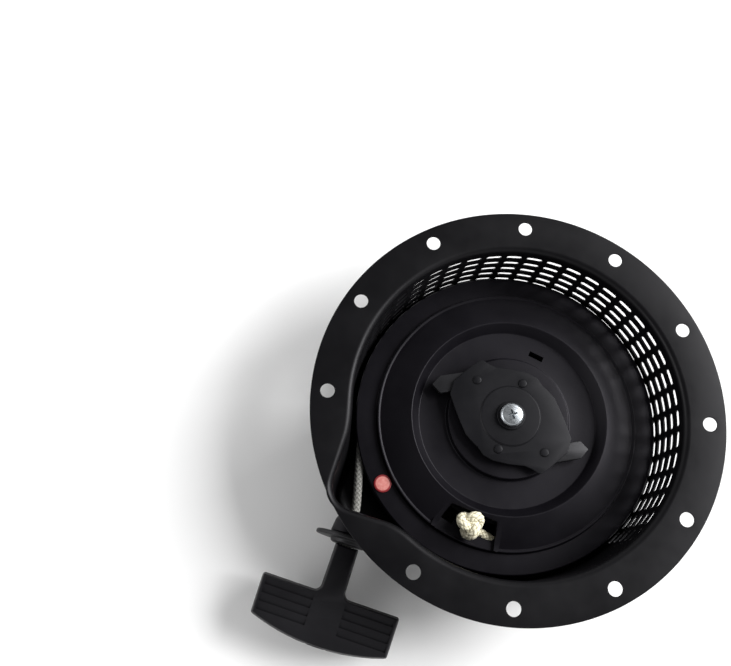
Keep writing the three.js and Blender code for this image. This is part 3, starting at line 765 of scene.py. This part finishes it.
def make_housing():
    inner_r = DRUM_R - SHEET
    under = FLANGE_FACE_Z - SHEET
    outline = [
        (0, 0, 0), (DRUM_R, 0, DRUM_EDGE_R), (DRUM_R, under, 2.5), (FLANGE_R, under, 0.4),
        (FLANGE_R, FLANGE_FACE_Z, 0.5), (inner_r, FLANGE_FACE_Z, 4.0),
        (inner_r, SHEET, DRUM_EDGE_R - SHEET), (0, SHEET, 0),
    ]
    profile = subdivided(rounded(outline, closed=False, steps=8), 4, DRUM_R + 0.01)
    shell = lathe("drum_shell", profile, 360)
    press_bulge(shell)
    combine(shell, housing_cutters(), "DIFFERENCE", 32)
    dressed(shell, PAINT, "housing", "housing", slot="black_paint")


# ---------------------------------------------------------------- reel


def pocket_solid(inner_r, outer_r, half_inner, half_outer, low, high):
    """Tapered block round the anchor knot."""
    edge = 0.8
    corners = [
        (inner_r, -half_inner, edge), (outer_r, -half_outer, edge),
        (outer_r, half_outer, edge), (inner_r, half_inner, edge),
    ]
    return move(stacked("pocket", corners, [(low, 0), (high, 0)]), turn_z(KNOT_DEG))


def wound_rope_points(degrees_shown, step_deg):
    """Centre line of the wound rope: from the knot, through the groove's floor, then spiral layers."""
    points = []
    first = 180 - ROPE_WOUND_DEG
    count = math.ceil(degrees_shown / step_deg)
    for i in range(count + 1):
        travelled = degrees_shown * i / count
        spiral_r = ROPE_WIND_R - ROPE_LAYER_PITCH * (ROPE_WOUND_DEG - travelled) / 360
        entry = float(1 - smooth_step(travelled / ROPE_ENTRY_DEG))
        x, y = polar(spiral_r - ROPE_ENTRY_INWARD * entry, first + travelled)
        points.append((x, y, ROPE_Z + ROPE_ENTRY_RISE * entry))
    return points


def make_reel():
    """The rope pulley, with its knot pocket, spring slot, pawl seats and the rope's way in."""
    groove_low, groove_top = ROPE_Z - 3.2, ROPE_Z + 3.2
    corners = [
        (8.3, 4.5, 0.3), (12, 4.5, 0.5), (12, 28.2, 1), (57.5, 28.4, 1), (61.4, 34.2, 0.8), (63, 34.4, 0.8),
        (74, 29.6, 1), (74, 17.8, 0.8), (75.5, REEL_BASE_Z, 0.6), (REEL_R, REEL_BASE_Z, 0.6),
        (REEL_R, groove_low, 0.5), (77, groove_low, 0.8), (77, groove_top, 0.8), (REEL_R, groove_top, 0.5),
        (REEL_R, REEL_TOP_Z, 0.8), (STEP_R + 0.7, REEL_TOP_Z, 0.8), (STEP_R + 0.1, STEP_Z + 0.5, 0.4),
        (STEP_R - 0.8, STEP_Z + 0.6, 0.4), (STEP_R - 1.7, STEP_Z, 0.5),
        (RIM_R, RIM_Z + 0.3, 0.8), (RECESS_FLOOR_R, RECESS_FLOOR_Z, 0.8), (BOSS_R + 0.8, RECESS_FLOOR_Z, 1.2),
        (BOSS_R, BOSS_Z, 0.8), (13.5, BOSS_Z, 0.5), (13.5, 31.5, 0.4), (8.3, 31.5, 0.3),
    ]
    reel = lathe("rope_reel", rounded(corners), 256)
    combine(reel, [pocket_solid(62.5, 80, 20, 22, 25.8, 31)], "UNION")
    cutters = [
        pocket_solid(63.5, 80.6, 15, 19.5, 28.8, 45),
        move(box_mesh("spring_slot", (3.4, 9.5, 12), (46, 0, RECESS_FLOOR_Z)), turn_z(68)),
    ]
    for side in (0, 180):
        x, y = polar(PAWL_PIVOT_R, PAWL_PIVOT_DEG + side)
        seat = [(0, 31.1), (PAWL_PIN_R, 31.1), (PAWL_PIN_R, 32.6), (4.7, 32.6), (4.7, 40), (0, 40)]
        cutters.append(move(lathe("pawl_seat", seat, 48), shift(x, y, 0)))
    combine(reel, cutters, "DIFFERENCE")
    windows = [
        move(box_mesh("window", (9, 8, 12), (70.5, 0, 27.8)), turn_z(KNOT_DEG + side * 10.5))
        for side in (-1, 1)
    ]
    combine(reel, windows, "DIFFERENCE")
    entry = tube("rope_entry", wound_rope_points(52, 2), ROPE_R + 0.9, 24)
    combine(reel, [entry], "DIFFERENCE", 32)
    dressed(reel, PLASTIC, "reel", "reel", "reel_hub", slot="black_plastic")


def make_dot():
    low, high = cad_box("dot_label")
    centre = (low + high) / 2
    radius = (high.x - low.x) / 2
    corners = [(0, low.z, 0), (radius, low.z, 0.05), (radius, high.z, 0.25), (0, high.z + 0.05, 0)]
    section = rounded(corners, closed=False)
    dot = move(lathe("dot_sticker", section, 64), shift(centre.x, centre.y, 0))
    dressed(dot, DOT, "reel", "dot_label", slot="red_label")


# ---------------------------------------------------------------- rope


def braid_swell(amount, fade=None):
    """Plaited bumps added to a rope's radius, faded out where fade(distance) is 0."""
    def swell(turn, distance):
        right = turn * BRAID_STRANDS + distance / BRAID_PITCH
        left = turn * BRAID_STRANDS - distance / BRAID_PITCH
        over = (math.floor(right) + math.floor(left)) % 2
        strand = right if over else left
        height = math.sin(math.pi * (strand - math.floor(strand))) - 0.65
        return amount * height * (fade(distance) if fade else 1)
    return swell


def make_wound_rope():
    centres = wound_rope_points(ROPE_WOUND_DEG - ROPE_END_GAP_DEG, 1)
    coil = tube("wound_rope", centres, ROPE_CORE_R, 24, braid_swell(BRAID_DEPTH))
    dressed(coil, ROPE_WOUND, "reel", "rope_coil", slot="rope")


def make_anchor_knot():
    """A tight overhand knot with its cut end."""
    low, high = cad_box("reel_knot")
    centre = (low + high) / 2
    points = []
    turns = 90
    for i in range(turns + 1):
        t = math.radians(20) + FULL_TURN * 0.93 * i / turns
        x = math.sin(t) + 2 * math.sin(2 * t)
        y = math.cos(t) - 2 * math.cos(2 * t)
        points.append((x * 2.15, y * 2.0, -math.sin(3 * t) * 2.5))
    last, before = Vector(points[-1]), Vector(points[-4])
    heading = (last - before).normalized()
    tail = [last + heading * 1.1 * k + Vector((0.3 * k, -0.2 * k, 0)) for k in range(1, 4)]
    path = smooth_path([points[i] for i in range(0, turns + 1, 5)] + [tuple(p) for p in tail], 0.4)
    knot = tube("anchor_knot", path, KNOT_STRAND_R, 32, braid_swell(0.3))
    move(knot, shift(centre.x, centre.y, centre.z + 0.4) @ turn_z(KNOT_TURN_DEG))
    dressed(knot, ROPE_WOUND, "reel", "reel_knot", slot="rope")


def handle_point(distance):
    """A point on the handle's centre line, a distance from the top of its neck."""
    out_x, out_y = polar(HANDLE_START, OUTLET_WALL_DEG)
    x, y = polar(distance, PULL_DEG)
    return Vector((OUTLET_X + out_x + x, OUTLET_Y + out_y + y, ROPE_Z))


def make_rope_run():
    """Rope from the reel to the grip, along one fixed path."""
    guide_x, guide_y = polar(8, OUTLET_WALL_DEG)
    route = [
        (-ROPE_WIND_R, -1, ROPE_Z), (-ROPE_WIND_R, -22, ROPE_Z), (-ROPE_WIND_R, -44, ROPE_Z),
        (-ROPE_WIND_R, -62, ROPE_Z), (OUTLET_X + guide_x, OUTLET_Y + guide_y, ROPE_Z),
        handle_point(0), handle_point(18), handle_point(KNOT_POCKET_Y + 3.2),
    ]
    plain_from, fade_length = 66, 4

    def fade(distance):
        return float(1 - smooth_step((distance - plain_from) / fade_length))

    rope = tube("pull_rope", smooth_path(route, 0.35), ROPE_CORE_R, 48, braid_swell(BRAID_DEPTH, fade))
    rope.data.materials.append(ROPE_RUN_PAINTED_SHADE)
    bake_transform(rope)
    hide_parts("rope_run")


def make_outlet_parts():
    """The bush in the outlet wall and the disc that the grip comes to rest against."""
    corners = [
        (ROPE_BORE_R, -2, 0.6), (5.6, -4.5, 0.4), (8.4, -4.5, 0.5), (9, -4, 0.3), (9, 0.5, 0), (10.3, 0.5, 0.4),
        (11.2, 1.6, 1.5), (12.5, 9.5, 1.2), (11.8, 10.5, 0.5), (4.6, 10.5, 0.6), (ROPE_BORE_R, 9, 0.6),
    ]
    guide = move(lathe("guide_bush", rounded(corners), 96), onto_outlet())
    dressed(guide, PLASTIC, "housing", "rope_guide", slot="black_plastic")
    disc_r = (stop_high.z - stop_low.z) / 2
    face = STOP_START + 2.6
    corners = [
        (4.1, STOP_START, 0.3), (disc_r, STOP_START, 0.9), (disc_r, face, 0.9), (11.4, face, 0.8),
        (11, 15.5, 0.8), (9.6, 16.3, 0.6), (4.5, 16.3, 0.5),
    ]
    disc = move(lathe("stop_disc", rounded(corners), 128), onto_outlet())
    dressed(disc, RUBBER, "housing", "stop_washer", slot="black_rubber")


# ---------------------------------------------------------------- pawls, plate and screw


def make_pawls():
    w, length = PAWL_HALF_WIDTH, PAWL_LENGTH
    corners = [
        (-w, -w, w), (length - 6, -w, 2), (length, -0.8, 0.9), (length - 4.2, w, 1.4), (-w, w, w),
    ]
    for name, node, side in (("pawl_left", "pawl_a", 0), ("pawl_right", "pawl_b", 180)):
        low, high = cad_box(node)
        pawl = stacked(name, corners, edge_levels(low.z, high.z, 0.45), steps=8)
        section = [(0, low.z - 1), (PAWL_PIN_R, low.z - 1), (PAWL_PIN_R, high.z + 1), (0, high.z + 1)]
        hole = lathe("pin_hole", section, 40)
        combine(pawl, [hole], "DIFFERENCE")
        move(pawl, turn_z(PAWL_PIVOT_DEG + side) @ shift(PAWL_PIVOT_R, 0, 0) @ turn_z(PAWL_LEAN_DEG))
        dressed(pawl, PAWL_STEEL, node, node, slot="dark_steel")


PLATE_HALF = [
    (-19.5, -21.5), (-16, -26), (-9.7, -28.8), (0, -30.2), (9.7, -30.4), (14.5, -32), (19.8, -35),
    (24.5, -31), (30, -26), (36.5, -19.5), (38.6, -11), (35.5, -3), (31.5, 6), (27.5, 14), (23, 18.5),
]


def make_plate():
    """The two-lobed plate over the pawls, with its raised middle and four domes."""
    corners = [(x, y, 2.5) for x, y in PLATE_HALF] + [(-x, -y, 2.5) for x, y in PLATE_HALF]
    top = PLATE_Z + PLATE_THICKNESS
    plate = stacked("drive_plate", corners, edge_levels(PLATE_Z, top, 0.35), steps=4)
    raised = [(0, PLATE_Z + 0.5, 0), (20.6, PLATE_Z + 0.5, 0), (18.4, top + 0.8, 0.8), (0, top + 0.8, 0)]
    pieces = [lathe("raised", rounded(raised, closed=False), 96)]
    for radius, degrees in ((30.4, 136), (22.5, 72)):
        for side in (0, 180):
            corners = [(0, PLATE_Z + 1, 0), (2.9, PLATE_Z + 1, 0), (2.6, top + 0.9, 1.6), (0, top + 1.0, 0)]
            dome = lathe("dome", rounded(corners, closed=False), 40)
            pieces.append(move(dome, turn_z(degrees + side) @ shift(radius, 0, 0)))
    for piece in pieces:
        combine(plate, [piece], "UNION")
    bore = lathe("bore", [(0, PLATE_Z - 2), (6.5, PLATE_Z - 2), (6.5, top + 4), (0, top + 4)], 64)
    combine(plate, [bore], "DIFFERENCE")
    dressed(plate, OXIDE, "friction_plate", "friction_plate", slot="dark_steel")


def make_screw():
    head_z = SCREW_TOP_Z - 4.2
    section = [
        (0, 30, 0), (2.3, 30, 0), (2.3, head_z, 0.2), (SCREW_HEAD_R, head_z, 0.4),
        (SCREW_HEAD_R, head_z + 2.3, 0.5), (6.2, SCREW_TOP_Z - 0.7, 1.6), (0, SCREW_TOP_Z, 0),
    ]
    screw = lathe("hub_screw", rounded(section, closed=False, steps=6), 96)
    wing = [(-3.3, -0.8, 0.3), (3.3, -0.8, 0.3), (3.3, 0.8, 0.3), (-3.3, 0.8, 0.3)]
    for turn in (20, 110):
        recess = stacked("recess", wing, [(SCREW_TOP_Z - 2, 0.55), (SCREW_TOP_Z + 1, 0)])
        combine(screw, [move(recess, turn_z(turn))], "DIFFERENCE", 30)
    dressed(screw, ZINC, "housing", "centre_screw", slot="zinc")
    low, high = cad_box("screw_washer")
    corners = [(2.9, low.z, 0.2), (high.x, low.z, 0.3), (high.x, high.z, 0.5), (2.9, high.z, 0.2)]
    washer = lathe("hub_washer", rounded(corners), 96)
    dressed(washer, OXIDE, "housing", "screw_washer", slot="dark_steel")


# ---------------------------------------------------------------- handle


def onto_handle():
    place = handle_point(0)
    return shift(place.x, place.y, place.z) @ turn_z(PULL_DEG - 90)


def handle_corners():
    """Outline of the T-shaped grip, with a crowned outer edge."""
    rise = BAR_CROWN_Y - BAR_END_Y
    arc_r = (BAR_HALF_LENGTH ** 2 + rise ** 2) / (2 * rise)
    crown = []
    for k in range(-7, 8):
        x = -(BAR_HALF_LENGTH - 2.5) * k / 7
        crown.append((x, BAR_CROWN_Y - arc_r + math.sqrt(arc_r ** 2 - x ** 2), 0))
    return [
        (-NECK_HALF + 0.4, 0, 0.8), (NECK_HALF - 0.4, 0, 0.8), (NECK_HALF, BAR_NEAR_Y, 4),
        (BAR_HALF_LENGTH, BAR_NEAR_Y, 1.8), (BAR_HALF_LENGTH - 0.6, BAR_END_Y, 1.8),
        *crown,
        (-BAR_HALF_LENGTH + 0.6, BAR_END_Y, 1.8), (-BAR_HALF_LENGTH, BAR_NEAR_Y, 1.8),
        (-NECK_HALF, BAR_NEAR_Y, 4),
    ]


def grip_ramp(half, y, face):
    """One saw-tooth recess in a flat face: level with the face on the neck's side, deep on the crown's side."""
    length, width, depth, over = 30.5, 4.7, 1.1, 1.0
    x0 = half * (BAR_HALF_LENGTH - 3.2)
    x1 = x0 - half * length
    section = [(y - width, 0), (y - width, over), (y, over), (y, -depth)]
    points = [(x, a, face * (HANDLE_THICKNESS / 2 + b)) for x in (x0, x1) for a, b in section]
    faces = [(0, 1, 2, 3), (7, 6, 5, 4), (0, 4, 5, 1), (1, 5, 6, 2), (2, 6, 7, 3), (3, 7, 4, 0)]
    return mesh_object("ramp", points, faces)


def make_handle():
    half = HANDLE_THICKNESS / 2
    levels = [
        (-half, 2.0), (-half + 0.25, 1.45), (-half + 0.8, 1.1), (-half + 1.6, 0.95), (-0.4, 0.1), (0, 0),
        (0.4, 0.1), (half - 1.6, 0.95), (half - 0.8, 1.1), (half - 0.25, 1.45), (half, 2.0),
    ]
    grip = stacked("pull_grip", handle_corners(), levels, 40, steps=6)
    ramps = [
        grip_ramp(side, y, face) for side in (-1, 1) for y in RIB_EDGES_Y for face in (-1, 1)
    ]
    combine(grip, ramps, "DIFFERENCE", 30)
    lay_down = Matrix.Rotation(-math.pi / 2, 4, "X")
    bore = lathe("bore", [
        (0, -2), (ROPE_BORE_R, -2), (ROPE_BORE_R, KNOT_POCKET_Y + 1), (0, KNOT_POCKET_Y + 1),
    ], 40)
    pocket_end = BAR_CROWN_Y + 2
    section = [(0, KNOT_POCKET_Y), (KNOT_POCKET_R, KNOT_POCKET_Y), (KNOT_POCKET_R, pocket_end), (0, pocket_end)]
    combine(grip, [move(bore, lay_down)], "DIFFERENCE", 30)
    combine(grip, [move(lathe("pocket", section, 48), lay_down)], "DIFFERENCE", 30)
    move(grip, onto_handle())
    dressed(grip, GRIP, "handle", "handle", slot="handle_plastic")
    plug_r = KNOT_POCKET_R - 0.3
    corners = [(0, 52, 0), (plug_r, 52, 0.5), (plug_r, BAR_CROWN_Y - 0.4, 0.8), (0, BAR_CROWN_Y - 0.2, 0)]
    plug = lathe("grip_plug", rounded(corners, closed=False), 64)
    move(plug, onto_handle() @ lay_down)
    dressed(plug, GRIP, "handle", "handle_cap", slot="handle_plastic")


# ---------------------------------------------------------------- CAD nodes that stay


def dress_cad_nodes():
    """Gives the hidden parts, which keep their CAD shapes, their materials."""
    finishes = {
        "spring_cup": STEEL, "recoil_spring": SPRING, "centre_post": ZINC, "thrust_washer": STEEL,
        "reel_bushing": BRONZE, "pawl_pin_a": STEEL, "pawl_pin_b": STEEL, "pawl_spring_a": SPRING,
        "pawl_spring_b": SPRING, "friction_spring": SPRING, "handle_insert": ZINC, "handle_knot": ROPE_WOUND,
    }
    for node, material in finishes.items():
        obj = frame["nodes"][node]
        obj.data.materials.clear()
        obj.data.materials.append(material)


# ---------------------------------------------------------------- floor, light and camera


def make_floor():
    """A pale floor just under the closed face, in metres."""
    mesh = bpy.data.meshes.new("floor")
    reach, low = 6.0, -0.0002
    corners = [(-reach, -reach, low), (reach, -reach, low), (reach, reach, low), (-reach, reach, low)]
    mesh.from_pydata(corners, [], [(0, 1, 2, 3)])
    floor = bpy.data.objects.new("floor", mesh)
    bpy.context.scene.collection.objects.link(floor)
    look = Look("pale_floor", (0.86, 0.86, 0.86), 0.9, specular=0.1)
    mesh.materials.append(look.material)


def area_light(name, azimuth, elevation, distance, size, power):
    """A rectangular lamp that faces the origin."""
    data = bpy.data.lights.new(name, "AREA")
    data.shape = "RECTANGLE"
    data.size, data.size_y = size
    data.energy = power
    light = bpy.data.objects.new(name, data)
    bpy.context.scene.collection.objects.link(light)
    a, e = math.radians(azimuth), math.radians(elevation)
    away = Vector((math.cos(a) * math.cos(e), math.sin(a) * math.cos(e), math.sin(e)))
    light.location = away * distance
    light.rotation_euler = away.to_track_quat("Z", "Y").to_euler()


def make_light():
    """A background brighter at the horizon than overhead, and two lamps."""
    world = bpy.data.worlds.new("studio")
    bpy.context.scene.world = world
    world.use_nodes = True
    nodes, links = world.node_tree.nodes, world.node_tree.links
    background = nodes["Background"]
    direction = nodes.new("ShaderNodeTexCoord")
    split = nodes.new("ShaderNodeSeparateXYZ")
    span = nodes.new("ShaderNodeMapRange")
    span.interpolation_type = "SMOOTHSTEP"
    limits = (HORIZON_HEIGHT, ZENITH_HEIGHT, HORIZON_STRENGTH, ZENITH_STRENGTH)
    for key, number in zip(("From Min", "From Max", "To Min", "To Max"), limits):
        span.inputs[key].default_value = number
    links.new(direction.outputs["Generated"], split.inputs[0])
    links.new(split.outputs["Z"], span.inputs["Value"])
    links.new(span.outputs["Result"], background.inputs["Strength"])
    background.inputs["Color"].default_value = (1, 1, 1, 1)
    area_light("key", **KEY_LIGHT)
    area_light("left_strip", **LEFT_STRIP)


def make_camera():
    data = bpy.data.cameras.new("camera")
    data.sensor_width = SENSOR_WIDTH
    data.lens = LENS
    data.clip_end = 20
    camera = bpy.data.objects.new("camera", data)
    bpy.context.scene.collection.objects.link(camera)
    about_x, about_y, about_z = (math.radians(turn) for turn in CAMERA_TURNS_DEG)
    rotation = (
        Matrix.Rotation(about_x, 3, "X")
        @ Matrix.Rotation(about_y, 3, "Y")
        @ Matrix.Rotation(about_z, 3, "Z")
    )
    offset = Vector(FLANGE_FROM_CAMERA)
    towards = rotation.transposed()
    place = -(towards @ offset) + Vector((0, 0, FLANGE_FACE_Z))
    camera.matrix_world = Matrix.Translation(place * MM) @ towards.to_4x4()
    bpy.context.scene.camera = camera


make_housing()
make_reel()
make_dot()
make_wound_rope()
make_anchor_knot()
make_rope_run()
make_outlet_parts()
make_pawls()
make_plate()
make_screw()
make_handle()
dress_cad_nodes()
make_floor()
make_light()
make_camera()
bpy.context.scene.view_settings.view_transform = "Standard"
